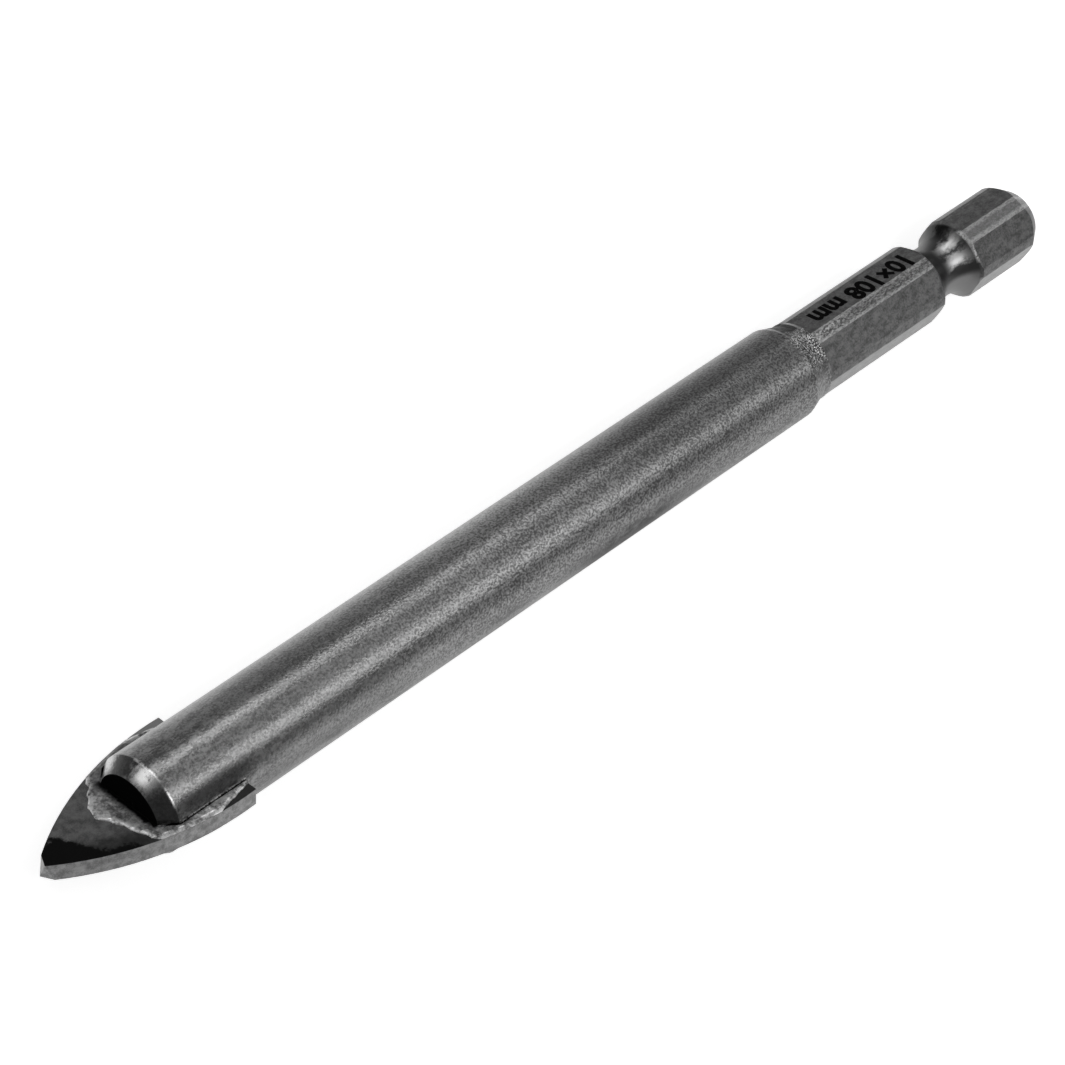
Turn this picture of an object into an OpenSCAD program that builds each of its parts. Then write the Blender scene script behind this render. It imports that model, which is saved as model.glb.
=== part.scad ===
// Glass and tile drill bit: a turned steel body with a hex shank and a spear plate brazed into its front slot.
// The bit lies along X with its point towards -X, rolled until a corner of the plate meets the plane z = 0.
// Sizes are in millimetres.

/* [Body] */
// Diameter of the round body
body_d = 7.9; // [7.4:0.1:8.6]
// Length of the body's straight side
body_len = 68.5; // [40:0.5:120]
// Length of the cone at the body's front
bevel_len = 1.2; // [0.8:0.1:2.4]
// Diameter of the flat front face
face_d = 6; // [5:0.1:7]
// Length of the cone at the body's rear
shoulder_len = 1.6; // [0.5:0.1:2]

/* [Hex shank] */
// Width across the flats
hex_af = 6.35; // [6.2:0.05:6.4]
// Diameter over the turned corners
corner_d = 6.88; // [6.76:0.02:7.1]
// Turn of the flats from the faces of the plate
hex_turn = 6.5; // [0:0.5:30]
// Length of the round neck between the body and the flats
neck_len = 0.7; // [0.4:0.1:4]
// Length of the hex in front of the lock groove
hex_front_len = 14.5; // [8:0.5:40]
// Diameter at the bottom of the lock groove
groove_d = 4.6; // [4.2:0.1:5.2]
// Width of the lock groove at the corners
groove_w = 5.1; // [4.2:0.1:5.8]
// Length of the hex behind the groove, with its end cone
hex_rear_len = 8.2; // [6:0.1:14]
// Length of the cone at the rear end
end_cone_len = 1.5; // [0.6:0.1:2]
// Diameter of the flat rear end
end_d = 5; // [4:0.1:6]

/* [Carbide plate] */
// Greatest width of the plate, the size of the hole it cuts
plate_w = 10; // [9:0.1:12]
// Thickness of the plate
plate_t = 1.5; // [1.2:0.1:2]
// Radius of the curved flanks in plan
flank_r = 24; // [18:0.5:32]
// Length of the plate behind the body's front face
plate_seat_len = 7.4; // [6:0.1:10]
// Distance from the plate's rear end to its widest place
plate_rear_len = 1.1; // [0.4:0.1:3]
// Slope of the two small facets at the point
facet_deg = 30; // [20:1:36]
// Sideways lean of the chisel edge at each face of the plate
chisel_lean = 0.3; // [0.2:0.02:0.6]

/* [Braze] */
// Thickness of the filler at each wall of the slot
braze_gap = 0.1; // [0.06:0.02:0.2]
// Reach of the filler over the plate in front of the front face
puddle_len = 2.2; // [0.8:0.1:2.6]
// Height of the filler where it climbs the front face
puddle_rise = 0.5; // [0.2:0.05:0.8]
// Thickness of the filler at its front edge
puddle_edge = 0.12; // [0.08:0.02:0.18]
// Width of the bead beside the body
bead_w = 0.6; // [0.3:0.05:0.7]
// Height of the bead beside the body
bead_rise = 0.4; // [0.2:0.05:0.6]

/* [Hidden] */
$fn = 96;
body_r = body_d / 2;
corner_r = corner_d / 2;
half_t = plate_t / 2;
half_slot = half_t + braze_gap;
// Places along the axis, counted from the front end of the straight side
face_x = -bevel_len;
neck_x = body_len + shoulder_len;
flat_x = neck_x + neck_len;
groove_x = flat_x + hex_front_len;
hex_rear_x = groove_x + groove_w;
end_x = hex_rear_x + hex_rear_len;
plate_end_x = face_x + plate_seat_len;
wide_x = plate_end_x - plate_rear_len;
// The round bottom of the lock groove
groove_deep = corner_r - groove_d / 2;
groove_r = (groove_w * groove_w / 4 + groove_deep * groove_deep) / (2 * groove_deep);
// The flanks' centres lie beside the axis, and the chisel edge a little behind where the flanks would meet
flank_y = flank_r - plate_w / 2;
nose_x = wide_x - sqrt(flank_r * flank_r - flank_y * flank_y);
chisel_x = wide_x - sqrt(flank_r * flank_r - pow(flank_y + chisel_lean, 2));
chisel_turn = atan2(chisel_lean, half_t);
middle_x = (chisel_x + end_x) / 2;
// The roll about the axis at which a corner of the plate is as low as the body
rest_roll = asin(body_r / sqrt(plate_w * plate_w / 4 + half_t * half_t)) - atan2(plate_t, plate_w);
// Half of the body's width at the plate's faces
chord = sqrt(body_r * body_r - half_t * half_t);
over = 1;

// Turns a shape so that its own z runs along the bit
module along(x) {
  translate([x, 0, 0])
    rotate([90, 0, 90])
      children();
}

// Brings the bit to its middle, its lowest line to the plane and a corner of the plate down beside it
module rest() {
  translate([-middle_x, 0, body_r])
    rotate([-rest_roll, 0, 0])
      children();
}

// The turned blank: body, neck, round shank and lock groove
module blank() {
  along(0)
    rotate_extrude()
      difference() {
        polygon([
          [0, face_x],
          [face_d / 2, face_x],
          [body_r, 0],
          [body_r, body_len],
          [corner_r, neck_x],
          [corner_r, end_x - end_cone_len],
          [end_d / 2, end_x],
          [0, end_x]
        ]);
        translate([groove_d / 2 + groove_r, groove_x + groove_w / 2])
          circle(r = groove_r);
      }
}

// What the milling of the flats takes off
module outside_flats() {
  along(flat_x)
    rotate([0, 0, -hex_turn])
      difference() {
        cylinder(r = body_r, h = end_x - flat_x + over);
        translate([0, 0, -over])
          cylinder(d = hex_af / cos(30), h = end_x - flat_x + 3 * over, $fn = 6);
      }
}

// The sawn slot across the front, with room for the filler
module slot() {
  translate([face_x - over, -plate_w, -half_slot])
    cube([plate_end_x + braze_gap - face_x + over, 2 * plate_w, 2 * half_slot]);
}

// The plan of the plate, carried through a given height about its middle
module plan(high) {
  intersection() {
    translate([wide_x, -flank_y, -high / 2])
      cylinder(r = flank_r, h = high, $fn = 240);
    translate([wide_x, flank_y, -high / 2])
      cylinder(r = flank_r, h = high, $fn = 240);
    translate([nose_x - over, -plate_w, -high / 2])
      cube([plate_end_x - nose_x + over, 2 * plate_w, high]);
  }
}

// What the grinding of one facet takes off the point
module off_facet() {
  translate([chisel_x, 0, 0])
    rotate([chisel_turn, 0, 0])
      rotate([0, 0, -facet_deg])
        translate([-plate_w, -plate_w, -plate_w / 2])
          cube([plate_w, 2 * plate_w, plate_w]);
}

// Filler over both faces of the plate in front of the body, drawn through the plate and a little into the slot
module puddle() {
  intersection() {
    translate([face_x, plate_w, 0])
      rotate([90, 0, 0])
        linear_extrude(2 * plate_w)
          polygon([
            [-puddle_len, half_t + puddle_edge],
            [0, half_t + puddle_rise],
            [0, half_slot],
            [over, half_slot],
            [over, -half_slot],
            [0, -half_slot],
            [0, -half_t - puddle_rise],
            [-puddle_len, -half_t - puddle_edge]
          ]);
    plan(4 * plate_t);
  }
}

// Filler over both faces of the plate beside the body, drawn through the plate and the body
module beads() {
  intersection() {
    along(face_x)
      linear_extrude(plate_end_x - face_x)
        polygon([
          [chord + bead_w, half_t],
          [chord, half_t + bead_rise],
          [-chord, half_t + bead_rise],
          [-chord - bead_w, half_t],
          [-chord - bead_w, -half_t],
          [-chord, -half_t - bead_rise],
          [chord, -half_t - bead_rise],
          [chord + bead_w, -half_t]
        ]);
    plan(4 * plate_t);
  }
}

module steel() {
  difference() {
    blank();
    outside_flats();
    slot();
  }
}

module steel_body() {
  color([0.36, 0.36, 0.36])
    rest()
      steel();
}

module carbide_tip() {
  color([0.16, 0.16, 0.16])
    rest()
      difference() {
        plan(plate_t);
        off_facet();
        rotate([180, 0, 0])
          off_facet();
      }
}

module braze_seam() {
  color([0.5, 0.5, 0.49])
    rest()
      difference() {
        union() {
          intersection() {
            blank();
            slot();
          }
          puddle();
          beads();
        }
        steel();
        plan(plate_t);
      }
}

steel_body();
carbide_tip();
braze_seam();
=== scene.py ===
"""Looks of the glass and tile drill bit: finishes, the uneven filler, the size mark and a small studio."""

import math

import bmesh
import bpy
from bpy.props import FloatProperty, FloatVectorProperty, PointerProperty, StringProperty
from mathutils import Matrix, Vector, noise


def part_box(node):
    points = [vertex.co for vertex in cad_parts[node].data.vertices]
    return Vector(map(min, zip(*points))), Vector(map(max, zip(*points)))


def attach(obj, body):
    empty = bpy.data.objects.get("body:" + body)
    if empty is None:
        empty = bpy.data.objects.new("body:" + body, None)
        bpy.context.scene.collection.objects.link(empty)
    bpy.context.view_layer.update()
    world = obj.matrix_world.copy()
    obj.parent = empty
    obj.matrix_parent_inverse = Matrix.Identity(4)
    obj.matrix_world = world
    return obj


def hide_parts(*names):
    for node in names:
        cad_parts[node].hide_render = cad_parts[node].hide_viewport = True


bl_info = {
    "name": "Glass and Tile Drill Bit",
    "version": (1, 0, 0),
    "blender": (4, 5, 0),
    "location": "3D View > Sidebar > Drill Bit",
    "description": "Finishes, filler, size mark and studio for a brazed spear bit with a hex shank",
    "category": "Object",
}

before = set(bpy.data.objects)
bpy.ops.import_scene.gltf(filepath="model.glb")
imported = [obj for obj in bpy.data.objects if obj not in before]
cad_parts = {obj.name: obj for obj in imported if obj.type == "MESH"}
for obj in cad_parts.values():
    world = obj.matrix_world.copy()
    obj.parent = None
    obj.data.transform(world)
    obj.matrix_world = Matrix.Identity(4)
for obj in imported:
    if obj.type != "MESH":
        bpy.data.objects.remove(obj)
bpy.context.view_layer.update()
STEEL_LOW, STEEL_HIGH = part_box("steel_body")
PLATE_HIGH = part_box("carbide_tip")[1]

MM = 0.001
SIDEBAR_TAB = "Drill Bit"

# Softened edges of the solids
MERGE_DISTANCE = 0.0005 * MM
LEVEL_ANGLE = math.radians(0.2)
SHARP_ANGLE = math.radians(15)
EDGE_SEGMENTS = 2

# From the middle of a hex flat to its corner, in degrees about the axis
HALF_FLAT = 30.0

# Reach of the filler, in millimetres: ahead of the front face across the plate, and beside the body
REACH_AHEAD = (
    (-4.2, 0.5),
    (-3.4, 1.05),
    (-1.6, 1.55),
    (-0.4, 2.0),
    (0.6, 2.6),
    (1.7, 2.2),
    (2.6, 1.5),
    (3.3, 0.8),
    (4.2, 0.4),
)
REACH_BESIDE = ((2.0, 1.5), (3.4, 0.95), (4.4, 0.7), (6.2, 0.32))
# Cell of the grid that the filler is raised from, the grid's length ahead of the front face,
# and the depth to which the filler's rim sinks into the plate
FILLER_CELL = 0.055
FILLER_FRONT = 3.1
FILLER_SINK = 0.02
# Width of the filler's rounded border, of the bright lip along it, and of the ramp at the plate's edge
BORDER_WIDTH = 0.28
LIP_WIDTH = 0.6
RAMP_WIDTH = 0.3
# Least height of the filler on the plate, and on the ramp
FILLER_LEAST = 0.012
RAMP_LEAST = 0.004
# Distance from the steel over which the filler rises to its full height, in front and beside
VALLEY_AHEAD = 0.4
VALLEY_BESIDE = 0.1
# Waves in the filler: their scales per millimetre, and the ripple's own place in the noise
SWELL_SCALE = 1.5
RIPPLE_SCALE = 4.0
RIPPLE_SEED = 9.0
# Radius and depth of the pit beside the front cone
PIT_RADIUS = 0.15
PIT_DEPTH = 0.2
# Attribute that says how near a point of the filler lies to its border
LIP = "filler_lip"

# Depth of the relief in each finish
STEEL_RELIEF = 0.024 * MM
CARBIDE_RELIEF = 0.004 * MM
BRAZE_RELIEF = 0.012 * MM
INK_RELIEF = 0.002 * MM

# Letters, in font units: growth of the outline, steps in a curve, and distance of joined points
LETTER_GROWTH = 0.04
LETTER_STEPS = 4
LETTER_MERGE = 1e-4

WHITE = (1.0, 1.0, 1.0)
FLOOR_COLOR = (0.8, 0.8, 0.8)
SENSOR_WIDTH = 36.0
CAMERA_CLIP = 10 * MM


class BitSizes(bpy.types.PropertyGroup):
    """Sizes that the looks need, as in the solids."""

    body_d: FloatProperty(
        name="Body Diameter",
        description="Diameter of the round body",
        default=STEEL_HIGH.z - STEEL_LOW.z,
        unit="LENGTH",
    )
    bevel_len: FloatProperty(
        name="Front Cone",
        description="Length of the cone at the body's front",
        default=1.2 * MM,
        unit="LENGTH",
    )
    face_d: FloatProperty(
        name="Front Face",
        description="Diameter of the flat front face",
        default=6.0 * MM,
        unit="LENGTH",
    )
    body_len: FloatProperty(
        name="Body Length",
        description="Length of the body's straight side",
        default=68.5 * MM,
        unit="LENGTH",
    )
    neck_end: FloatProperty(
        name="Start of the Flats",
        description="Distance from the front of the straight side to the hex flats",
        default=70.8 * MM,
        unit="LENGTH",
    )
    groove_start: FloatProperty(
        name="Start of the Lock Groove",
        description="Distance from the front of the straight side to the lock groove",
        default=85.3 * MM,
        unit="LENGTH",
    )
    groove_w: FloatProperty(
        name="Lock Groove Width",
        description="Width of the lock groove at the corners",
        default=5.1 * MM,
        unit="LENGTH",
    )
    hex_af: FloatProperty(
        name="Hex Across Flats",
        description="Width across the flats of the shank",
        default=6.35 * MM,
        unit="LENGTH",
    )
    corner_d: FloatProperty(
        name="Hex Corners",
        description="Diameter over the turned corners of the shank",
        default=6.88 * MM,
        unit="LENGTH",
    )
    hex_turn: FloatProperty(
        name="Turn of the Flats",
        description="Turn of the flats from the faces of the plate",
        default=math.radians(6.5),
        subtype="ANGLE",
    )
    plate_w: FloatProperty(
        name="Plate Width",
        description="Greatest width of the carbide plate",
        default=10.0 * MM,
        unit="LENGTH",
    )
    plate_t: FloatProperty(
        name="Plate Thickness",
        description="Thickness of the carbide plate",
        default=1.5 * MM,
        unit="LENGTH",
    )
    flank_r: FloatProperty(
        name="Flank Radius",
        description="Radius of the plate's curved flanks in plan",
        default=24.0 * MM,
        unit="LENGTH",
    )
    widest_back: FloatProperty(
        name="Widest Place",
        description="Distance from the plate's rear end to its widest place",
        default=1.1 * MM,
        unit="LENGTH",
    )
    steel_edge: FloatProperty(
        name="Steel Edges",
        description="Width of the softened edges of the steel body",
        default=0.1 * MM,
        unit="LENGTH",
    )
    carbide_edge: FloatProperty(
        name="Carbide Edges",
        description="Width of the softened edges of the carbide plate",
        default=0.03 * MM,
        unit="LENGTH",
    )
    braze_gap: FloatProperty(
        name="Filler in the Slot",
        description="Thickness of the filler at each wall of the slot",
        default=0.1 * MM,
        unit="LENGTH",
    )
    braze_lip: FloatProperty(
        name="Filler Lip",
        description="Height of the filler's rounded lip over the plate",
        default=0.15 * MM,
        unit="LENGTH",
    )
    braze_lip_under: FloatProperty(
        name="Filler Lip Underneath",
        description="Height of the filler's rounded lip on the lower face of the plate",
        default=0.06 * MM,
        unit="LENGTH",
    )
    mark_height: FloatProperty(
        name="Size Mark Height",
        description="Height of the digits on the top flat",
        default=1.95 * MM,
        unit="LENGTH",
    )
    mark_length: FloatProperty(
        name="Size Mark Length",
        description="Length of the row of digits",
        default=11.6 * MM,
        unit="LENGTH",
    )
    mark_start: FloatProperty(
        name="Size Mark Place",
        description="Distance from the start of the flats to the middle of the digits",
        default=7.6 * MM,
        unit="LENGTH",
    )
    mark_side: FloatProperty(
        name="Size Mark Offset",
        description="Sideways offset of the digits on their flat",
        default=0.2 * MM,
        unit="LENGTH",
    )
    ink_t: FloatProperty(
        name="Ink Thickness",
        description="Thickness of the printed digits",
        default=0.012 * MM,
        unit="LENGTH",
    )
    ink_sink: FloatProperty(
        name="Ink Depth",
        description="Part of the ink's thickness that lies below the flat",
        default=0.004 * MM,
        unit="LENGTH",
    )
    mark_text: StringProperty(
        name="Size Mark",
        description="Plain size of the bit: cut and length in millimetres",
        default="10×108 mm",
    )


class BitFinish(bpy.types.PropertyGroup):
    """Colours of the finishes."""

    # Also the colour of painted highlights and sheen on the neck, flats and groove
    steel_light: FloatVectorProperty(
        name="Steel, Light",
        description="Clean grain of the blasted steel",
        default=(0.33, 0.33, 0.33),
        subtype="COLOR",
    )
    # Also the colour of painted shade on the neck and in the lock groove
    steel_dark: FloatVectorProperty(
        name="Steel, Dark",
        description="Dull grain of the blasted steel",
        default=(0.11, 0.11, 0.11),
        subtype="COLOR",
    )
    # Also the colour of painted highlights, glints and reflections on the steel
    steel_bare_and_highlight: FloatVectorProperty(
        name="Steel, Bare",
        description="Bare bright steel on worn edges and turned faces",
        default=(0.66, 0.66, 0.66),
        subtype="COLOR",
    )
    steel_flat: FloatVectorProperty(
        name="Steel, Flats",
        description="Milled flats of the shank",
        default=(0.12, 0.12, 0.12),
        subtype="COLOR",
    )
    # Also the black of painted shade on the front face and before it
    soot_and_shade: FloatVectorProperty(
        name="Soot",
        description="Burnt film left by the brazing",
        default=(0.003, 0.003, 0.003),
        subtype="COLOR",
    )
    carbide: FloatVectorProperty(
        name="Carbide",
        description="Sintered faces of the plate",
        default=(0.1, 0.1, 0.1),
        subtype="COLOR",
    )
    carbide_ground: FloatVectorProperty(
        name="Ground Carbide",
        description="Ground flanks and facets of the plate",
        default=(0.27, 0.27, 0.27),
        subtype="COLOR",
    )
    braze: FloatVectorProperty(
        name="Braze",
        description="Silver filler",
        default=(0.56, 0.56, 0.56),
        subtype="COLOR",
    )
    ink: FloatVectorProperty(
        name="Ink",
        description="Printed size mark",
        default=(0.004, 0.004, 0.004),
        subtype="COLOR",
    )


class BitStage(bpy.types.PropertyGroup):
    """Camera, floor and room."""

    aim: FloatVectorProperty(
        name="Aim",
        description="Place that the camera looks at",
        default=(-4.548 * MM, 0.52 * MM, 3.89 * MM),
        subtype="XYZ",
        unit="LENGTH",
        size=3,
    )
    distance: FloatProperty(
        name="Camera Distance",
        description="Distance from the camera to its aim",
        default=293.41 * MM,
        unit="LENGTH",
    )
    azimuth: FloatProperty(
        name="Camera Azimuth",
        description="Direction of the camera about the upright, from +X towards +Y",
        default=math.radians(171.12),
        subtype="ANGLE",
    )
    elevation: FloatProperty(
        name="Camera Elevation",
        description="Height angle of the camera above the floor",
        default=math.radians(54.774),
        subtype="ANGLE",
    )
    picture_roll: FloatProperty(
        name="Picture Roll",
        description="Turn of the camera about its own line of sight",
        default=math.radians(-66.924),
        subtype="ANGLE",
    )
    lens: FloatProperty(
        name="Lens",
        description="Focal length for a sensor 36 mm wide, in millimetres",
        default=131.83,
    )
    floor_size: FloatProperty(
        name="Floor Size",
        description="Side of the square floor",
        default=3.0,
        unit="LENGTH",
    )
    floor_glow: FloatProperty(
        name="Floor Glow",
        description="Share of white that the floor shows by itself",
        default=0.68,
        subtype="FACTOR",
    )
    glow_near: FloatProperty(
        name="Mirrored Glow, Near",
        description="Distance behind the bit up to which its reflection shows the floor white",
        default=4.0 * MM,
        unit="LENGTH",
    )
    glow_far: FloatProperty(
        name="Mirrored Glow, Far",
        description="Distance behind the bit from which its reflection shows the floor unlit",
        default=20.0 * MM,
        unit="LENGTH",
    )
    glow_front: FloatProperty(
        name="Mirrored Glow, Front",
        description="Share of the glow that the bit's reflection shows on the near side of the floor",
        default=0.6,
        subtype="FACTOR",
    )
    world_level: FloatProperty(
        name="Room Level",
        description="Brightness of the plain grey room",
        default=0.3,
    )


def rest_matrix(sizes):
    """From the bit's own axes, plate level and x from the front of the straight side, to the row frame."""
    half_w = sizes.plate_w / 2
    half_t = sizes.plate_t / 2
    roll = math.asin(sizes.body_d / 2 / math.hypot(half_w, half_t)) - math.atan2(half_t, half_w)
    front = Vector((STEEL_LOW.x + sizes.bevel_len, 0, sizes.body_d / 2))
    return Matrix.Translation(front) @ Matrix.Rotation(-roll, 4, "X")


def plate_end(sizes):
    """Place of the plate's rear end along the bit's own axis, in millimetres."""
    return (PLATE_HIGH.x - STEEL_LOW.x - sizes.bevel_len) / MM


def new_piece(name, bm, matrix, material, smooth=True):
    """A mesh object at the origin with its place in its vertices, riding on the part's one body."""
    bmesh.ops.transform(bm, matrix=matrix, verts=bm.verts)
    bmesh.ops.recalc_face_normals(bm, faces=bm.faces)
    mesh = bpy.data.meshes.new(name)
    bm.to_mesh(mesh)
    bm.free()
    for polygon in mesh.polygons:
        polygon.use_smooth = smooth
    mesh.materials.append(material)
    piece = bpy.data.objects.new(name, mesh)
    bpy.context.scene.collection.objects.link(piece)
    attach(piece, "root")
    return piece


def round_edges(piece, width):
    """Live modifiers that soften a solid's sharp edges and keep its flat faces flat."""
    weld = piece.modifiers.new("Merge Corners", "WELD")
    weld.merge_threshold = MERGE_DISTANCE
    flat = piece.modifiers.new("Join Flat Triangles", "DECIMATE")
    flat.decimate_type = "DISSOLVE"
    flat.angle_limit = LEVEL_ANGLE
    bevel = piece.modifiers.new("Soft Edges", "BEVEL")
    bevel.width = width
    bevel.segments = EDGE_SEGMENTS
    bevel.limit_method = "ANGLE"
    bevel.angle_limit = SHARP_ANGLE
    normals = piece.modifiers.new("Flat Faces", "WEIGHTED_NORMAL")
    normals.keep_sharp = True


def put_material(piece, material):
    """Gives a solid one finish in place of its plain colour."""
    piece.data.materials.clear()
    piece.data.materials.append(material)


def shade(color, share=1.0):
    """A colour times a share."""
    return tuple(share * channel for channel in color)


class Finish:
    """Builds one material's nodes; places are in millimetres on the bit's own axes."""

    def __init__(self, name, matrix):
        self.material = bpy.data.materials.new(name)
        self.material.use_nodes = True
        self.tree = self.material.node_tree
        self.shader = self.tree.nodes["Principled BSDF"]
        coordinates = self.node("ShaderNodeTexCoord", {}).outputs["Object"]
        settings = {
            "Vector": coordinates,
            "Location": matrix.to_translation(),
            "Rotation": matrix.to_euler(),
            "Scale": (MM, MM, MM),
        }
        mapping = self.node("ShaderNodeMapping", settings, vector_type="TEXTURE")
        self.place = mapping.outputs["Vector"]
        apart = self.node("ShaderNodeSeparateXYZ", {"Vector": self.place})
        self.x = apart.outputs["X"]
        self.y = apart.outputs["Y"]
        self.z = apart.outputs["Z"]
        self.color = None

    def put(self, socket, value):
        """Links a socket to another one, or sets its own value."""
        if isinstance(value, bpy.types.NodeSocket):
            self.tree.links.new(value, socket)
        elif socket.type == "RGBA":
            socket.default_value = (*value, 1.0)
        else:
            socket.default_value = value

    def feed(self, name, value):
        """Links or sets one of the shader's sockets."""
        self.put(self.shader.inputs[name], value)

    def node(self, kind, inputs, **settings):
        """A new node with its settings and inputs."""
        made = self.tree.nodes.new(kind)
        for name, value in settings.items():
            setattr(made, name, value)
        for key, value in inputs.items():
            self.put(made.inputs[key], value)
        return made

    def math(self, operation, first, second=0.0):
        """One step of arithmetic."""
        made = self.node("ShaderNodeMath", {0: first, 1: second}, operation=operation)
        return made.outputs[0]

    def add(self, *values):
        """The sum of several values."""
        total = values[0]
        for value in values[1:]:
            total = self.math("ADD", total, value)
        return total

    def times(self, value, amount):
        """A value times an amount."""
        return self.math("MULTIPLY", value, amount)

    def both(self, *masks):
        """Where all the masks hold."""
        joined = masks[0]
        for mask in masks[1:]:
            joined = self.math("MULTIPLY", joined, mask)
        return joined

    def either(self, *masks):
        """Where any of the masks holds."""
        joined = masks[0]
        for mask in masks[1:]:
            joined = self.math("MAXIMUM", joined, mask)
        return joined

    def outside(self, mask):
        """Where a mask doesn't hold."""
        return self.math("SUBTRACT", 1.0, mask)

    def step(self, value, low, high, from_value=0.0, to_value=1.0):
        """A smooth change from one value to another between two limits."""
        inputs = {
            "Value": value,
            "From Min": low,
            "From Max": high,
            "To Min": from_value,
            "To Max": to_value,
        }
        made = self.node("ShaderNodeMapRange", inputs, interpolation_type="SMOOTHSTEP")
        return made.outputs["Result"]

    def drop(self, value, low, high):
        """1 below two limits, 0 above them and a smooth change between."""
        return self.step(value, low, high, 1.0, 0.0)

    def between(self, value, low, high, soft):
        """1 between two limits and 0 outside them."""
        rise = self.step(value, low - soft, low + soft)
        fall = self.drop(value, high - soft, high + soft)
        return self.both(rise, fall)

    def within(self, value, ranges, soft):
        """1 inside any of several (low, high) ranges."""
        return self.either(*(self.between(value, low, high, soft) for low, high in ranges))

    def noise(self, scale, detail, roughness, along=1.0):
        """A noise with a scale in waves per millimetre, times a share along the bit."""
        vector = self.place
        if along != 1.0:
            inputs = {0: self.place, 1: (along, 1.0, 1.0)}
            vector = self.node("ShaderNodeVectorMath", inputs, operation="MULTIPLY").outputs[0]
        inputs = {"Vector": vector, "Scale": scale, "Detail": detail, "Roughness": roughness}
        return self.node("ShaderNodeTexNoise", inputs).outputs["Fac"]

    def spread(self, value, amount):
        """A noise about its middle, times an amount."""
        return self.times(self.math("SUBTRACT", value, 0.5), amount)

    def blend(self, factor, first, second):
        """A number between two numbers."""
        return self.add(first, self.times(factor, self.math("SUBTRACT", second, first)))

    def mix(self, factor, first, second):
        """A colour between two colours."""
        made = self.node("ShaderNodeMix", {}, data_type="RGBA")
        sockets = {(socket.name, socket.type): socket for socket in made.inputs}
        self.put(sockets["Factor", "VALUE"], factor)
        self.put(sockets["A", "RGBA"], first)
        self.put(sockets["B", "RGBA"], second)
        return next(socket for socket in made.outputs if socket.type == "RGBA")

    def paint(self, mask, color, share=1.0):
        """Covers the colour so far with another one where a mask holds."""
        if share != 1.0:
            mask = self.times(mask, share)
        self.color = self.mix(mask, self.color, color)

    def bump(self, height, depth):
        """A surface direction from a height between 0 and 1 and its depth in metres."""
        inputs = {"Height": height, "Distance": depth, "Strength": 1.0}
        return self.node("ShaderNodeBump", inputs).outputs["Normal"]

    def matt_where(self, mask):
        """Bare metal outside a mask, and dull without metal or gloss inside it."""
        self.feed("Metallic", self.outside(mask))
        self.feed("Specular IOR Level", self.step(mask, 0.0, 1.0, 0.5, 0.0))

    def angle(self):
        """Angle about the bit's axis in degrees, from the upper face of the plate towards its near edge."""
        turned = self.math("ARCTAN2", self.times(self.y, -1.0), self.z)
        return self.times(turned, math.degrees(1.0))

    def radius(self):
        """Distance from the bit's axis."""
        across = self.node("ShaderNodeCombineXYZ", {"Y": self.y, "Z": self.z}).outputs[0]
        return self.node("ShaderNodeVectorMath", {0: across}, operation="LENGTH").outputs["Value"]

    def side(self):
        """Place across the plate, turned half round on its lower face."""
        return self.times(self.y, self.math("SIGN", self.z))


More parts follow.
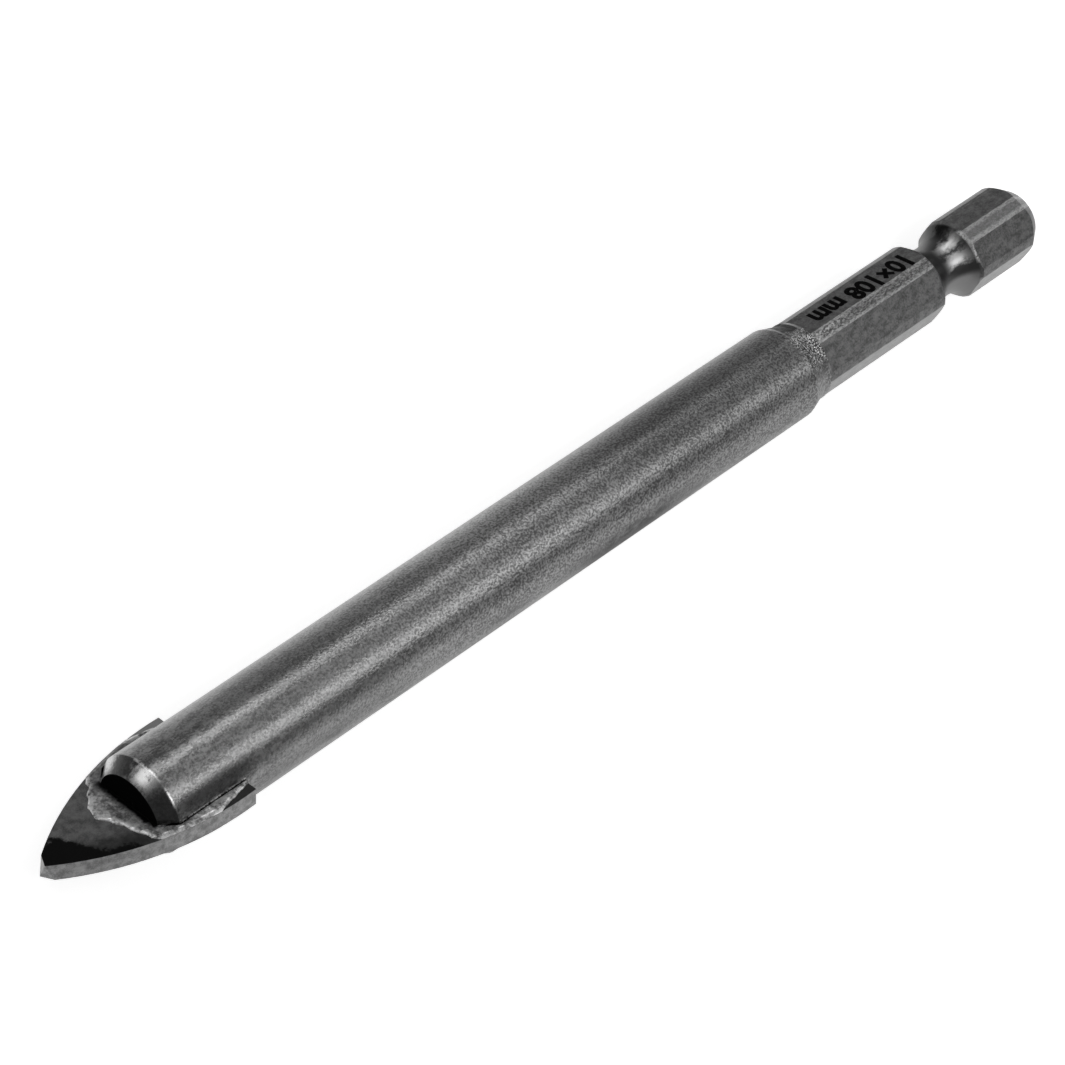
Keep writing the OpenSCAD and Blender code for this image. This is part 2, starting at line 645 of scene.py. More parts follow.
class SteelFinish(Finish):
    """Blasted steel: grainy body, cone, turned neck, milled flats and lock groove, with painted shade and
    highlights.
    """

    def __init__(self, sizes, finish):
        super().__init__("blasted_steel", rest_matrix(sizes))
        self.light = shade(finish.steel_light)
        self.dark = shade(finish.steel_dark)
        self.bare_and_highlight = shade(finish.steel_bare_and_highlight)
        self.milled = shade(finish.steel_flat)
        self.soot_and_shade = shade(finish.soot_and_shade)

        # Places along the bit, and distances from its axis
        self.face = -sizes.bevel_len / MM
        self.slot_end = plate_end(sizes)
        self.body_end = sizes.body_len / MM
        self.hex_start = sizes.neck_end / MM
        self.groove = sizes.groove_start / MM
        self.groove_end = self.groove + sizes.groove_w / MM
        self.half_slot = (sizes.plate_t / 2 + sizes.braze_gap) / MM
        self.body_r = sizes.body_d / 2 / MM
        self.corner_r = sizes.corner_d / 2 / MM

        # Patterns and masks that several places share
        self.grain = self.noise(scale=5.8, detail=1.0, roughness=0.6)
        self.mottle = self.noise(scale=1.9, detail=4.0, roughness=0.6, along=0.6)
        self.cloud = self.noise(scale=0.3, detail=3.0, roughness=0.5, along=0.35)
        self.speck = self.step(self.noise(scale=6.0, detail=3.0, roughness=0.7, along=0.55), 0.38, 0.68)
        self.around = self.angle()
        self.wander = self.add(self.around, self.spread(self.mottle, 40.0))
        self.out = self.radius()
        self.on_cone = self.drop(self.x, 0.0, 0.08)
        self.on_hex = self.step(self.x, self.hex_start - 0.02, self.hex_start + 0.02)
        from_corner = self.math("SUBTRACT", self.around, HALF_FLAT - math.degrees(sizes.hex_turn))
        self.off_corner = self.math("PINGPONG", from_corner, HALF_FLAT)
        half_band = self.step(self.x, self.groove, self.groove_end, 9.3, 12.2)
        self.on_corner = self.drop(self.math("SUBTRACT", self.off_corner, half_band), -0.7, 0.7)
        self.matt = []

        self.skin()
        self.stains()
        self.front_cone()
        self.slot_edges()
        self.milled_flats()
        self.painted_neck_shade()
        self.corner_bands()
        self.turned_shoulder()
        self.lock_groove()
        self.painted_face_shade()
        self.surface()

    def skin(self):
        """Grain of the blasted skin, mottled at the front, darker and oilier at the rear."""
        grain_contrast = self.step(self.x, 6.0, 56.0, 0.9, 1.8)
        mottle_contrast = self.step(self.x, 3.0, 14.0, 1.1, 0.35)
        tone = self.add(
            self.spread(self.grain, grain_contrast),
            self.spread(self.mottle, mottle_contrast),
            self.spread(self.cloud, 0.3),
        )
        self.color = self.mix(self.step(tone, -0.28, 0.28), self.dark, self.light)
        dull_front = self.step(self.x, 14.0, 32.0, 0.25, 0.0)
        self.paint(dull_front, self.dark)
        oily_rear = self.both(self.step(self.x, 36.0, 56.0), self.step(self.around, 0.0, 60.0, 0.5, 0.2))
        self.paint(oily_rear, shade(self.dark, 0.5))

    def stains(self):
        """Oil stains low on the near side of the body, and one darker pool among them."""
        ragged = self.step(self.noise(scale=0.6, detail=5.0, roughness=0.7, along=0.25), 0.46, 0.62)
        low_side = self.between(self.wander, 98.0, 134.0, 14.0)
        stain = self.both(ragged, low_side, self.between(self.x, 8.0, self.body_end, 3.0))
        self.paint(stain, shade(self.dark, 0.7), 0.8)
        pool = self.both(self.between(self.wander, 90.0, 140.0, 14.0), self.between(self.x, 40.0, 53.0, 4.0))
        pool = self.both(pool, self.step(self.cloud, 0.35, 0.55, 0.55, 0.85))
        self.paint(pool, shade(self.dark, 0.6))
        self.matt += [self.times(stain, 0.6), pool]

    def front_cone(self):
        """Darker bands and a patchy painted reflection on the front cone, its edge worn bare with a painted
        highlight, and the scorched skin behind it.
        """
        dark_places = self.within(self.wander, ((-38.0, -4.0), (34.0, 80.0)), 9.0)
        self.paint(self.both(self.on_cone, dark_places), shade(self.dark, 0.3), 0.85)
        # Painted reflection: pale patches on the cone
        painted_reflection = self.within(self.wander, ((2.0, 26.0), (-64.0, -42.0)), 10.0)
        behind_face = self.step(self.x, self.face + 0.1, self.face + 0.6)
        painted_reflection = self.both(self.on_cone, painted_reflection, behind_face, self.step(self.mottle, 0.28, 0.5))
        self.paint(painted_reflection, shade(self.bare_and_highlight, 0.85))
        # The cone's edge: bare wear with a painted highlight
        wear_and_highlight = self.within(self.around, ((-10.0, 27.0), (36.0, 58.0)), 4.0)
        at_edge = self.between(self.x, -0.04, 0.14, 0.06)
        self.paint(self.both(wear_and_highlight, at_edge, self.step(self.grain, 0.3, 0.5)), self.bare_and_highlight, 0.8)
        scorch = self.both(self.between(self.wander, 56.0, 80.0, 8.0), self.between(self.x, 0.2, 7.0, 1.5))
        self.paint(scorch, shade(self.dark, 0.4), 0.75)

    def slot_edges(self):
        """Bare edges where the slot runs out through the body's side."""
        off_plate = self.math("ABSOLUTE", self.z)
        beside = self.between(off_plate, self.half_slot - 0.04, self.half_slot + 0.14, 0.04)
        along = self.between(self.x, 0.3, self.slot_end, 0.2)
        on_skin = self.step(self.out, self.body_r - 0.15, self.body_r - 0.05)
        self.paint(self.both(beside, along, on_skin, self.step(self.grain, 0.4, 0.5)), self.bare_and_highlight)

    def milled_flats(self):
        """Dull milled flats, with the low flat on the near side painted lighter as a painted sheen."""
        tone = self.add(self.mottle, self.times(self.noise(scale=6.0, detail=3.0, roughness=0.65), 0.8))
        tone = self.step(tone, 0.62, 1.18)
        milled = self.mix(tone, shade(self.milled, 0.6), shade(self.milled, 1.45))
        # Painted sheen: a lighter colour for the low flat on the near side
        painted_sheen = self.mix(tone, shade(self.light, 0.68), shade(self.light, 1.08))
        low_side = self.step(self.around, 88.0, 96.0)
        self.paint(self.on_hex, self.mix(low_side, milled, painted_sheen))

    def painted_neck_shade(self):
        """Painted shade on the neck's far side and in a near patch, and a painted highlight ring at each end
        of the neck.
        """
        on_neck = self.between(self.x, self.body_end + 0.2, self.hex_start, 0.2)
        far_side = self.between(self.around, -75.0, 4.0, 6.0)
        patch = self.times(self.between(self.wander, 52.0, 70.0, 10.0), 0.6)
        uneven = self.step(self.mottle, 0.3, 0.6, 1.0, 0.9)
        neck_shade = self.both(on_neck, self.either(far_side, patch), uneven)
        # Painted shade: the far side and the near patch darkened
        self.paint(neck_shade, shade(self.dark, 0.4))
        at_flats = self.between(self.x, self.hex_start - 0.25, self.hex_start - 0.05, 0.05)
        at_body = self.between(self.x, self.body_end - 0.1, self.body_end + 0.15, 0.06)
        # Painted highlights: a bright ring at each end of the neck
        highlight_rings = self.either(
            self.both(at_flats, self.between(self.around, -30.0, 6.0, 4.0)),
            self.both(at_body, self.between(self.around, -58.0, -16.0, 6.0)),
        )
        self.paint(highlight_rings, self.light, 0.7)
        self.matt.append(self.both(neck_shade, self.outside(highlight_rings)))

    def corner_bands(self):
        """Scratched bands on the upper turned corners: bright in front, calmer at the rear, with painted
        highlights at their rims.
        """
        upper_side = self.between(self.around, -20.0, 62.0, 10.0)
        self.band = self.both(self.on_hex, self.on_corner, upper_side)
        away = self.step(self.x, self.hex_start + 1.0, self.hex_start + 5.0)
        shine = self.mix(away, self.bare_and_highlight, shade(self.bare_and_highlight, 0.58))
        scratched = self.mix(self.speck, shade(self.dark, 0.9), shine)
        calm = self.step(self.x, self.groove, self.groove_end, 0.0, 0.65)
        self.paint(self.band, self.mix(calm, scratched, shade(self.bare_and_highlight, 0.36)))
        off_middle = self.step(self.off_corner, 4.0, 7.0)
        # Painted highlights at the rims of the band
        rim_highlight = self.both(self.band, off_middle, self.step(self.speck, 0.0, 0.6, 0.3, 0.8))
        self.paint(rim_highlight, shade(self.bare_and_highlight, 0.7))

    def turned_shoulder(self):
        """Turning marks with painted glints on the upper side of the shoulder and the neck."""
        slanted = self.math("SUBTRACT", self.x, self.times(self.around, 0.012))
        turned = self.step(slanted, self.body_end - 0.8, self.body_end + 0.2)
        upper_side = self.between(self.wander, 4.0, 54.0, 9.0)
        self.turned = self.both(turned, upper_side, self.outside(self.on_hex))
        # Painted glints among the turning marks
        painted_glint = self.step(self.noise(scale=7.0, detail=2.0, roughness=0.7), 0.48, 0.58)
        self.paint(self.turned, self.mix(painted_glint, shade(self.dark, 0.7), shade(self.bare_and_highlight, 1.3)))

    def lock_groove(self):
        """Lock groove darkened as painted shade and painted lighter on its low side, with painted highlight
        blotches, a black patch on its rear wall, and a painted highlight on its rear edge.
        """
        along = self.between(self.x, self.groove + 0.1, self.groove_end - 0.1, 0.05)
        self.in_groove = self.both(along, self.drop(self.out, self.corner_r - 0.3, self.corner_r - 0.12))
        # Painted shade in the recess of the groove
        self.paint(self.in_groove, shade(self.dark, 0.5))
        # Painted light: lighter on the groove's low side
        low_side = self.step(self.around, 72.0, 86.0)
        self.paint(self.both(self.in_groove, low_side), shade(self.light, 0.55))
        # Painted highlights: bright blotches in the rear half
        highlight_blotch = self.within(self.wander, ((1.0, 18.0), (32.0, 54.0)), 8.0)
        rear_half = self.between(self.x, self.groove + 2.4, self.groove_end - 0.7, 0.8)
        self.paint(self.both(self.in_groove, highlight_blotch, rear_half), shade(self.bare_and_highlight, 0.75))
        rear_wall = self.step(self.x, self.groove + 2.4, self.groove + 4.4)
        dark_places = self.both(self.in_groove, self.between(self.wander, -34.0, -6.0, 12.0), rear_wall)
        self.paint(dark_places, shade(self.dark, 0.1))
        self.matt.append(dark_places)
        # Painted highlight along the rear edge
        at_edge = self.between(self.x, self.groove_end - 0.34, self.groove_end - 0.08, 0.07)
        upper_side = self.between(self.wander, 8.0, 66.0, 6.0)
        self.paint(self.both(at_edge, upper_side, self.step(self.grain, 0.25, 0.6)), shade(self.bare_and_highlight, 0.8))

    def painted_face_shade(self):
        """Painted shade on the front face: black, without metal or gloss."""
        # Painted shade: the whole front face made black
        self.face_shade = self.drop(self.x, self.face + 0.03, self.face + 0.09)
        self.paint(self.face_shade, self.soot_and_shade)
        self.matt.append(self.face_shade)

    def surface(self):
        """Gloss and relief: rough grain, smoother on the flats, the cone and the groove."""
        self.feed("Base Color", self.color)
        self.matt_where(self.either(*self.matt))
        rough = self.step(self.mottle, 0.3, 0.7, 0.24, 0.31)
        rough = self.add(rough, self.step(self.x, 14.0, 34.0, 0.0, 0.05))
        self.feed("Roughness", self.either(rough, self.times(self.on_hex, 0.38), self.face_shade))
        height = self.blend(self.either(self.band, self.turned), self.grain, self.speck)
        on_flat = self.both(self.on_hex, self.outside(self.on_corner))
        smooth = self.either(on_flat, self.on_cone, self.in_groove)
        height = self.both(height, self.step(smooth, 0.0, 1.0, 1.0, 0.25))
        height = self.both(height, self.step(self.x, 6.0, 24.0, 0.45, 1.0))
        self.feed("Normal", self.bump(height, STEEL_RELIEF))


def carbide_finish(sizes, finish):
    """Dark sintered plate with a black burnt patch along its near edge, and ground flanks."""
    made = Finish("sintered_carbide", rest_matrix(sizes))
    half_t = sizes.plate_t / 2 / MM
    ground = finish.carbide_ground
    grain = made.noise(scale=9.0, detail=2.0, roughness=0.6)
    mottle = made.noise(scale=1.6, detail=4.0, roughness=0.6)
    tone = made.add(mottle, made.times(grain, 0.5))
    side = made.side()
    flank = made.drop(made.math("ABSOLUTE", made.z), half_t - 0.06, half_t - 0.02)
    on_face = made.outside(flank)
    on_ledge = made.step(made.x, 0.4, 1.2)
    made.color = made.mix(made.step(tone, 0.45, 1.0), shade(finish.carbide, 0.6), shade(finish.carbide, 1.5))

    # Dim along the near edge and on the near ledge, paler on the far ledge
    inward = made.add(side, made.times(made.x, 0.51), made.spread(mottle, 1.0))
    near_ledge = made.both(on_ledge, made.drop(side, -1.0, 0.0))
    dim = made.either(made.drop(inward, -4.2, -2.7), near_ledge)
    made.paint(made.both(dim, on_face), shade(finish.carbide, 0.2), 0.8)
    far_ledge = made.both(on_ledge, made.step(side, 0.0, 1.0), on_face)
    made.paint(far_ledge, shade(ground), 0.8)

    # The burnt patch runs from the point along the near edge of the upper face, and the same way underneath
    border = made.add(made.step(made.x, -7.3, -4.9, 1.6, -2.0), made.step(made.x, -5.0, -3.0, 0.0, -0.9))
    ragged = made.spread(made.noise(scale=4.0, detail=3.0, roughness=0.7), 1.4)
    into = made.add(made.math("SUBTRACT", side, border), made.spread(mottle, 1.6), ragged)
    black = made.both(made.drop(into, -0.55, 0.35), made.drop(made.x, -3.4, -2.4), on_face)
    made.paint(black, shade(finish.soot_and_shade))

    made.paint(flank, made.mix(made.step(tone, 0.5, 1.0), shade(ground, 0.6), shade(ground, 1.3)))
    made.feed("Base Color", made.color)
    made.feed("Roughness", made.blend(black, 0.42, 0.3))
    made.feed("Metallic", made.step(black, 0.0, 1.0, 0.85, 0.0))
    made.feed("Specular IOR Level", made.step(black, 0.0, 1.0, 0.5, 0.05))
    made.feed("Normal", made.bump(grain, CARBIDE_RELIEF))
    return made.material


def braze_finish(sizes, finish):
    """Pale uneven silver filler with dull flux and a painted highlight on its lip, with soot and painted
    shade before the front face, and soot in the seam beside the body.
    """
    made = Finish("silver_filler", rest_matrix(sizes))
    face = -sizes.bevel_len / MM
    face_r = sizes.face_d / 2 / MM
    body_r = sizes.body_d / 2 / MM
    grain = made.noise(scale=5.0, detail=3.0, roughness=0.6)
    mottle = made.noise(scale=1.7, detail=3.0, roughness=0.55)
    tone = made.add(made.times(grain, 0.4), made.times(mottle, 0.8))
    made.color = made.mix(made.step(tone, 0.44, 0.78), shade(finish.braze, 0.22), shade(finish.braze, 1.1))

    # Darker on the far side, and a painted highlight along the lip at the border
    far = made.both(made.step(made.side(), 1.5, 2.9), made.step(made.x, face - 3.0, face - 2.2))
    made.paint(far, shade(finish.braze, 0.14), 0.75)
    lip = made.node("ShaderNodeAttribute", {}, attribute_name=LIP).outputs["Fac"]
    made.paint(made.both(lip, made.step(tone, 0.45, 0.68)), shade(finish.braze, 1.3), 0.9)

    # Soot and painted shade before the front face, and soot in the seam along the body
    soot_and_shade_ahead = made.both(
        made.step(made.add(made.x, made.spread(mottle, 0.9)), face - 0.85, face - 0.2),
        made.between(made.y, -face_r - 0.1, face_r + 0.1, 0.3),
        made.drop(made.x, face, face + 0.1),
    )
    taper = made.step(made.x, face, 0.0, face_r, body_r)
    off_body = made.math("SUBTRACT", made.radius(), taper)
    seam = made.both(made.drop(off_body, 0.06, 0.14), made.step(made.x, face + 0.3, face + 0.5))
    black = made.either(soot_and_shade_ahead, seam)
    made.paint(black, shade(finish.soot_and_shade))

    made.feed("Base Color", made.color)
    made.matt_where(black)
    made.feed("Roughness", made.either(made.step(mottle, 0.35, 0.65, 0.5, 0.34), black))
    made.feed("Normal", made.bump(tone, BRAZE_RELIEF))
    return made.material


def ink_finish(sizes, finish):
    """Matt black ink, thin in places."""
    made = Finish("black_ink", rest_matrix(sizes))
    thin = made.step(made.noise(scale=8.0, detail=3.0, roughness=0.7), 0.6, 0.75)
    made.feed("Base Color", made.mix(thin, shade(finish.ink), shade(finish.steel_dark, 0.5)))
    made.feed("Roughness", made.step(thin, 0.0, 1.0, 0.9, 0.7))
    made.feed("Specular IOR Level", 0.0)
    made.feed("Normal", made.bump(thin, INK_RELIEF))
    return made.material


def floor_finish(stage):
    """White to the camera; in reflections dimmer on the near side, and unlit well behind the bit."""
    made = Finish("pale_floor", Matrix.Identity(4))
    path = made.node("ShaderNodeLightPath", {}).outputs
    close = made.drop(made.y, stage.glow_near / MM, stage.glow_far / MM)
    under_bit = {"Value": made.y, "From Min": -1.0, "From Max": 1.0, "To Min": stage.glow_front}
    near_side = made.node("ShaderNodeMapRange", under_bit).outputs["Result"]
    mirrored = made.both(close, near_side, path["Is Glossy Ray"])
    straight = made.either(path["Is Camera Ray"], path["Is Transmission Ray"])
    made.feed("Base Color", FLOOR_COLOR)
    made.feed("Roughness", 1.0)
    made.feed("Specular IOR Level", 0.0)
    made.feed("Emission Color", WHITE)
    made.feed("Emission Strength", made.times(made.either(straight, mirrored), stage.floor_glow))
    return made.material


def smooth_between(places, value):
    """Smooth run through a few (value, result) places, level beyond its ends."""
    for (low, first), (high, second) in zip(places, places[1:]):
        if value <= high:
            share = max(0.0, (value - low) / (high - low))
            return first + (second - first) * share * share * (3 - 2 * share)
    return places[-1][1]


def rounded(depth, width):
    """A quarter-round rise from 0 at an edge to 1 a given width inside it."""
    share = min(1.0, max(0.0, depth / width))
    return math.sqrt(1.0 - (1.0 - share) ** 2)


def filler_height(sizes, lip, x, y, seed):
    """Height of the filler over the plate and distance in from its border; both below zero outside it."""
    face = -sizes.bevel_len / MM
    half_t = sizes.plate_t / 2 / MM
    taper = min(1.0, max(0.0, 1.0 - x / face))
    body_r = (sizes.face_d + (sizes.body_d - sizes.face_d) * taper) / 2 / MM
    ahead = max(0.0, face - x)
    beside = max(0.0, abs(y) - math.sqrt(body_r * body_r - half_t * half_t))
    if ahead == 0.0 and beside == 0.0:
        return sizes.braze_gap / MM, 1.0

    swell = noise.noise(Vector((x * SWELL_SCALE, y * SWELL_SCALE, seed)))
    ripple = noise.noise(Vector((x * RIPPLE_SCALE, y * RIPPLE_SCALE, seed + RIPPLE_SEED)))
    if ahead > 0.0:
        inside = smooth_between(REACH_AHEAD, y) + 0.12 * swell + 0.02 * ripple - ahead
    else:
        inside = smooth_between(REACH_BESIDE, x) + 0.1 * swell - beside
    if inside <= 0.0:
        return -0.05 + 0.1 * inside, inside

    valley = min(1.0, max(ahead / VALLEY_AHEAD, beside / VALLEY_BESIDE))
    height = lip / MM * rounded(inside, BORDER_WIDTH) * (0.3 + 0.7 * valley)
    height += (0.05 * swell + 0.012 * ripple) * rounded(inside - 0.05, 0.4) * valley
    pit = math.hypot(x - 0.6 * face, y + 0.82 * body_r - 0.1) / PIT_RADIUS
    return max(FILLER_LEAST, height) - PIT_DEPTH * math.exp(-pit * pit), inside


def filler_sheet(sizes, lip, seed):
    """The filler on one face of the plate: a fine grid raised to its height and cut at the plate's face."""
    half_t = sizes.plate_t / 2 / MM
    front = -sizes.bevel_len / MM - FILLER_FRONT
    rear = plate_end(sizes)
    side = sizes.plate_w / 2 / MM
    wide_x = rear - sizes.widest_back / MM
    flank_r = sizes.flank_r / MM
    bm = bmesh.new()
    layer = bm.verts.layers.float.new(LIP)
    columns = round((rear - front) / FILLER_CELL)
    rows = round(2 * side / FILLER_CELL)
    bmesh.ops.create_grid(bm, x_segments=columns, y_segments=rows, size=0.5)
    for vert in bm.verts:
        x = front + (vert.co.x + 0.5) * (rear - front)
        half_plan = math.sqrt(flank_r * flank_r - (x - wide_x) ** 2) - (flank_r - side)
        y = 2 * vert.co.y * half_plan
        height, inside = filler_height(sizes, lip, x, y, seed)
        if height > 0.0:
            height = max(RAMP_LEAST, height * min(1.0, (half_plan - abs(y)) / RAMP_WIDTH))
        vert.co = Vector((x, y, half_t + height))
        vert[layer] = max(0.0, 1.0 - abs(inside) / LIP_WIDTH)

    cut = bm.verts[:] + bm.edges[:] + bm.faces[:]
    bmesh.ops.bisect_plane(bm, geom=cut, plane_co=(0, 0, half_t), plane_no=(0, 0, 1), clear_inner=True)
    rim_highlight = [edge for edge in bm.edges if edge.is_boundary]
    skirt = bmesh.ops.extrude_edge_only(bm, edges=rim_highlight)
    for item in skirt["geom"]:
        if isinstance(item, bmesh.types.BMVert):
            item.co.z = half_t - FILLER_SINK
    bmesh.ops.holes_fill(bm, edges=[edge for edge in bm.edges if edge.is_boundary], sides=0)
    bmesh.ops.triangulate(bm, faces=[face for face in bm.faces if len(face.verts) > 4])
    return bm


def filler_end(sizes):
    """The filler behind the plate at the end of the slot, a thin film just inside the body's round side."""
    gap = sizes.braze_gap / MM
    half_slot = sizes.plate_t / 2 / MM + gap
    half_wide = math.sqrt((sizes.body_d / 2 / MM) ** 2 - half_slot**2)
    bm = bmesh.new()
    bmesh.ops.create_cube(bm, size=1.0)
    bmesh.ops.scale(bm, vec=(gap, 2 * half_wide, 2 * half_slot), verts=bm.verts)
    bmesh.ops.translate(bm, vec=(plate_end(sizes) + gap / 2, 0, 0), verts=bm.verts)
    return bm


def letter_faces(context, text):
    """The flat faces of a line of text, in font units."""
    curve = bpy.data.curves.new("size_mark", "FONT")
    curve.body = text
    curve.align_x = "CENTER"
    curve.align_y = "CENTER"
    curve.offset = LETTER_GROWTH
    curve.resolution_u = LETTER_STEPS
    letters = bpy.data.objects.new("size_mark_letters", curve)
    context.scene.collection.objects.link(letters)
    context.view_layer.update()
    bm = bmesh.new()
    bm.from_mesh(letters.to_mesh())
    letters.to_mesh_clear()
    bpy.data.objects.remove(letters)
    if not bm.verts:
        raise RuntimeError("The size mark has no outline")
    bmesh.ops.remove_doubles(bm, verts=bm.verts, dist=LETTER_MERGE)
    return bm


def fit_letters(bm, length, height, thickness):
    """Brings flat letters to their middle and their real size, and gives them a thickness."""
    low = Vector((min(v.co.x for v in bm.verts), min(v.co.y for v in bm.verts), 0))
    high = Vector((max(v.co.x for v in bm.verts), max(v.co.y for v in bm.verts), 0))
    middle = (low + high) / 2
    fit = Matrix.Diagonal((length / (high.x - low.x), height / (high.y - low.y), 1, 1))
    bmesh.ops.transform(bm, matrix=fit @ Matrix.Translation(-middle), verts=bm.verts)
    thick = bmesh.ops.extrude_face_region(bm, geom=bm.faces[:], use_keep_orig=True)
    for item in thick["geom"]:
        if isinstance(item, bmesh.types.BMVert):
            item.co.z += thickness


def mark_matrix(sizes):
    """From the letters' own plane to the top flat of the shank, on the bit's own axes."""
    along = Matrix.Translation((sizes.neck_end + sizes.mark_start, 0, 0))
    turn = Matrix.Rotation(-sizes.hex_turn, 4, "X")
    onto = Matrix.Translation((0, -sizes.mark_side, sizes.hex_af / 2 - sizes.ink_sink))
    return along @ turn @ onto @ Matrix.Rotation(math.pi, 4, "Z")


def soft_lamp(name, toward, distance, length, width, level):
    """A soft strip lamp along the bit, seen from the bit in a given direction, with a given brightness."""
    lamp = bpy.data.lights.new(name, "AREA")
    lamp.shape = "RECTANGLE"
    lamp.size = length
    lamp.size_y = width
    lamp.energy = level * math.pi * length * width
    item = bpy.data.objects.new(name, lamp)
    bpy.context.scene.collection.objects.link(item)
    back = Vector(toward).normalized()
    along = (Vector((1, 0, 0)) - back * back.x).normalized()
    across = back.cross(along)
    turn = Matrix((along, across, back)).transposed().to_4x4()
    item.matrix_world = Matrix.Translation(back * distance) @ turn


def studio_lamps():
    """Two strips that draw the streaks on the body, two cards for its sides, and a weak light overhead."""
    soft_lamp("far_strip", toward=(0.2, 0.74, 0.645), distance=0.38, length=0.34, width=0.1, level=2.4)
    soft_lamp("top_strip", toward=(0.34, -0.24, 0.91), distance=0.4, length=0.36, width=0.14, level=1.9)
    soft_lamp("side_card", toward=(0.5, -0.86, 0.11), distance=0.4, length=0.6, width=0.25, level=0.8)
    soft_lamp("overhead", toward=(0.42, 0.22, 0.88), distance=0.75, length=0.5, width=0.5, level=0.4)
    soft_lamp("front_card", toward=(-0.68, 0.63, 0.38), distance=0.4, length=0.17, width=0.17, level=1.3)


def pale_floor(scene, stage):
    """A square floor under the bit, which takes its shadow."""
    bm = bmesh.new()
    bmesh.ops.create_grid(bm, x_segments=1, y_segments=1, size=stage.floor_size / 2)
    mesh = bpy.data.meshes.new("floor")
    bm.to_mesh(mesh)
    bm.free()
    mesh.materials.append(floor_finish(stage))
    floor = bpy.data.objects.new("floor", mesh)
    scene.collection.objects.link(floor)


def grey_room(scene, stage):
    """A plain room of one brightness all round."""
    world = bpy.data.worlds.new("grey_room")
    world.use_nodes = True
    back = world.node_tree.nodes["Background"]
    back.inputs["Color"].default_value = (*WHITE, 1.0)
    back.inputs["Strength"].default_value = stage.world_level
    scene.world = world


def photo_camera(scene, stage):
    """A camera at the photograph's angle and framing."""
    out = math.cos(stage.elevation)
    up = math.sin(stage.elevation)
    back = Vector((out * math.cos(stage.azimuth), out * math.sin(stage.azimuth), up))
    level_right = Vector((0, 0, 1)).cross(back).normalized()
    level_up = back.cross(level_right)
    level = Matrix((level_right, level_up, back)).transposed()
    turn = level @ Matrix.Rotation(-stage.picture_roll, 3, "Z")
    data = bpy.data.cameras.new("camera")
    data.sensor_width = SENSOR_WIDTH
    data.lens = stage.lens
    data.clip_start = CAMERA_CLIP
    data.dof.use_dof = False
    camera = bpy.data.objects.new("camera", data)
    scene.collection.objects.link(camera)
    camera.matrix_world = Matrix.Translation(Vector(stage.aim) + back * stage.distance) @ turn.to_4x4()
    scene.camera = camera


class BIT_OT_steel_body(bpy.types.Operator):
    """Rounds the edges of the steel body and gives it its finish"""

    bl_idname = "bit.steel_body"
    bl_label = "Steel Body"

    def execute(self, context):
        scene = context.scene
        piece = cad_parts["steel_body"]
        round_edges(piece, scene.bit_sizes.steel_edge)
        put_material(piece, SteelFinish(scene.bit_sizes, scene.bit_finish).material)
        return {"FINISHED"}


class BIT_OT_carbide_tip(bpy.types.Operator):
    """Rounds the edges of the carbide plate a little and gives it its finish"""

    bl_idname = "bit.carbide_tip"
    bl_label = "Carbide Tip"

    def execute(self, context):
        scene = context.scene
        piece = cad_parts["carbide_tip"]
        round_edges(piece, scene.bit_sizes.carbide_edge)
        put_material(piece, carbide_finish(scene.bit_sizes, scene.bit_finish))
        return {"FINISHED"}


class BIT_OT_braze(bpy.types.Operator):
    """Builds the uneven filler on both faces of the plate and behind it, in place of the plain solid"""

    bl_idname = "bit.braze"
    bl_label = "Braze Filler"

    def execute(self, context):
        scene = context.scene
        sizes = scene.bit_sizes
        material = braze_finish(sizes, scene.bit_finish)
        over = rest_matrix(sizes) @ Matrix.Scale(MM, 4)
        under = over @ Matrix.Rotation(math.pi, 4, "X")
        upper = filler_sheet(sizes, sizes.braze_lip, seed=2.0)
        lower = filler_sheet(sizes, sizes.braze_lip_under, seed=17.0)
        pieces = (
            new_piece("braze_upper", upper, over, material),
            new_piece("braze_lower", lower, under, material),
            new_piece("braze_end", filler_end(sizes), over, material, smooth=False),
        )
        for piece in pieces:
            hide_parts("braze_seam")
        return {"FINISHED"}


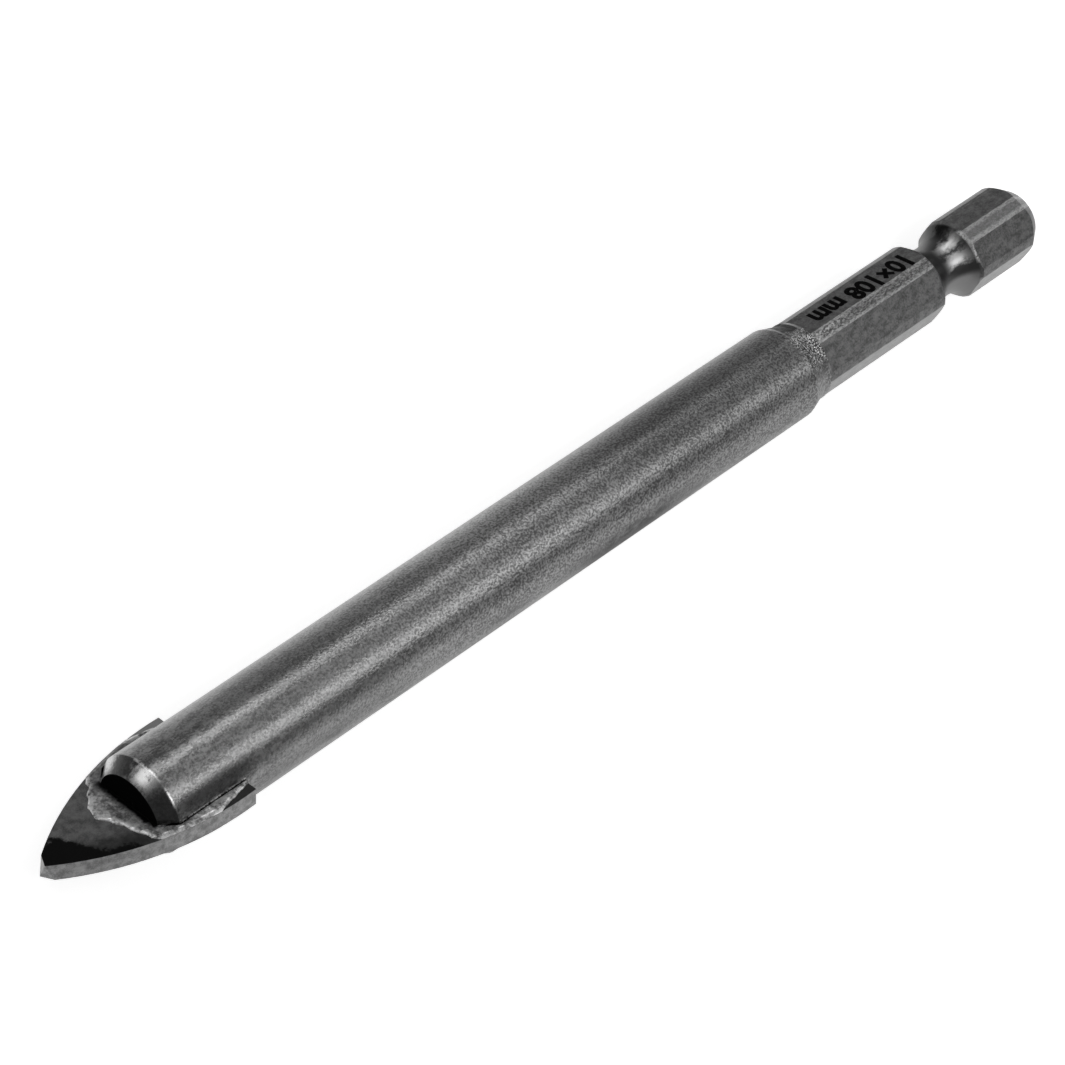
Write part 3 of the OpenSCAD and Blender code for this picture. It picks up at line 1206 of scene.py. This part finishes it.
class BIT_OT_size_mark(bpy.types.Operator):
    """Prints the plain size of the bit on the top flat of the shank"""

    bl_idname = "bit.size_mark"
    bl_label = "Size Mark"

    def execute(self, context):
        scene = context.scene
        sizes = scene.bit_sizes
        bm = letter_faces(context, sizes.mark_text)
        fit_letters(bm, sizes.mark_length, sizes.mark_height, sizes.ink_t)
        place = rest_matrix(sizes) @ mark_matrix(sizes)
        new_piece("size_mark", bm, place, ink_finish(sizes, scene.bit_finish), smooth=False)
        return {"FINISHED"}


class BIT_OT_stage(bpy.types.Operator):
    """Sets the pale floor, the lamps, the grey room and the camera"""

    bl_idname = "bit.stage"
    bl_label = "Stage"

    def execute(self, context):
        scene = context.scene
        pale_floor(scene, scene.bit_stage)
        grey_room(scene, scene.bit_stage)
        studio_lamps()
        photo_camera(scene, scene.bit_stage)
        scene.view_settings.view_transform = "Standard"
        return {"FINISHED"}


OPERATORS = (BIT_OT_steel_body, BIT_OT_carbide_tip, BIT_OT_braze, BIT_OT_size_mark, BIT_OT_stage)


class BIT_PT_drill_bit(bpy.types.Panel):
    """Sizes, colours and steps of the drill bit"""

    bl_idname = "BIT_PT_drill_bit"
    bl_label = "Drill Bit"
    bl_space_type = "VIEW_3D"
    bl_region_type = "UI"
    bl_category = SIDEBAR_TAB

    def draw(self, context):
        scene = context.scene
        for group in (scene.bit_sizes, scene.bit_finish, scene.bit_stage):
            box = self.layout.box()
            for name in group.__annotations__:
                box.prop(group, name)
        for operator in OPERATORS:
            self.layout.operator(operator.bl_idname)


CLASSES = (BitSizes, BitFinish, BitStage, *OPERATORS, BIT_PT_drill_bit)


def register():
    for item in CLASSES:
        bpy.utils.register_class(item)
    bpy.types.Scene.bit_sizes = PointerProperty(type=BitSizes)
    bpy.types.Scene.bit_finish = PointerProperty(type=BitFinish)
    bpy.types.Scene.bit_stage = PointerProperty(type=BitStage)


def unregister():
    del bpy.types.Scene.bit_stage
    del bpy.types.Scene.bit_finish
    del bpy.types.Scene.bit_sizes
    for item in reversed(CLASSES):
        bpy.utils.unregister_class(item)


def main():
    register()
    bpy.ops.bit.steel_body()
    bpy.ops.bit.carbide_tip()
    bpy.ops.bit.braze()
    bpy.ops.bit.size_mark()
    bpy.ops.bit.stage()


if __name__ == "__main__":
    main()
